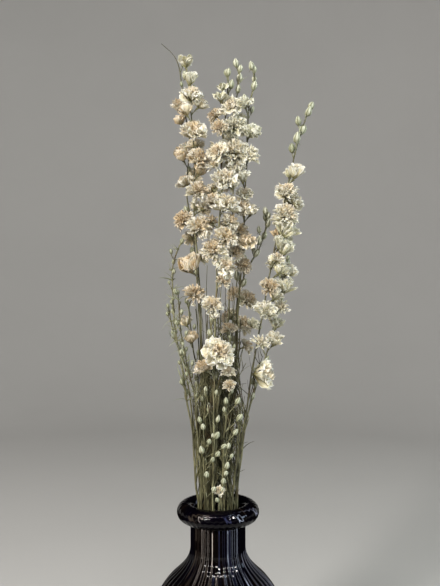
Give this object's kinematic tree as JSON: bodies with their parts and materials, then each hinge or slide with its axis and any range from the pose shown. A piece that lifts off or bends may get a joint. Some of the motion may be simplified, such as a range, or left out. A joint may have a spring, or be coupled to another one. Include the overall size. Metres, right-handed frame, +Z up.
{
  "type": "dried larkspur in vase",
  "caption": "Tall loose bunch of dried cream larkspur standing in a round-bodied, ribbed black glass vase with a rolled lip.",
  "frame": {"origin": "middle of the vase's flat underside, at table height", "axes": "+Z up along the vase's axis and the bunch; -Y is the front of the bunch; +X to the right"},
  "size_m": [0.1643, 0.1328, 0.6564],
  "materials": {
    "black_glass": "gloss, optic ribs, near-black with a faint violet and amber tint",
    "dried_stem": "matt, dried grey-olive plant stem",
    "dried_petal": "matt, papery cream petals with beige and green-yellow depths"
  },
  "bodies": {
    "root": {"floret_back_spike_1": "dried_petal", "floret_back_spike_2": "dried_petal", "floret_centre_back_spike_1": "dried_petal", "floret_centre_back_spike_2": "dried_petal", "floret_centre_back_spike_3": "dried_petal", "floret_centre_back_spike_4": "dried_petal", "floret_front_spike_1": "dried_petal", "floret_front_spike_2": "dried_petal", "floret_left_back_spike_1": "dried_petal", "floret_left_back_spike_2": "dried_petal", "floret_left_back_spike_3": "dried_petal", "floret_left_low_spike_1": "dried_petal", "floret_left_low_spike_2": "dried_petal", "floret_left_spike_1": "dried_petal", "floret_left_spike_2": "dried_petal", "floret_left_spike_3": "dried_petal", "floret_left_spike_4": "dried_petal", "floret_left_spike_5": "dried_petal", "floret_left_spike_6": "dried_petal", "floret_middle_right_spike_1": "dried_petal", "floret_middle_right_spike_2": "dried_petal", "floret_middle_right_spike_3": "dried_petal", "floret_middle_right_spike_4": "dried_petal", "floret_middle_spike_1": "dried_petal", "floret_middle_spike_2": "dried_petal", "floret_middle_spike_3": "dried_petal", "floret_middle_spike_4": "dried_petal", "floret_middle_spike_5": "dried_petal", "floret_right_edge_stem_1": "dried_petal", "floret_right_spike_1": "dried_petal", "floret_right_spike_2": "dried_petal", "floret_right_spike_3": "dried_petal", "floret_right_spike_4": "dried_petal", "floret_right_spike_5": "dried_petal", "floret_right_spike_6": "dried_petal", "stem_back_spike": "dried_stem", "stem_centre_back_spike": "dried_stem", "stem_centre_shoot": "dried_stem", "stem_front_shoot": "dried_stem", "stem_front_spike": "dried_stem", "stem_left_back_spike": "dried_stem", "stem_left_inner_shoot": "dried_stem", "stem_left_low_spike": "dried_stem", "stem_left_outer_shoot": "dried_stem", "stem_left_shoot": "dried_stem", "stem_left_spike": "dried_stem", "stem_middle_right_spike": "dried_stem", "stem_middle_spike": "dried_stem", "stem_right_edge_stem": "dried_stem", "stem_right_low_spike": "dried_stem", "stem_right_shoot": "dried_stem", "stem_right_spike": "dried_stem", "stem_short_spike": "dried_stem", "vase": "black_glass"}
  },
  "joints": []
}
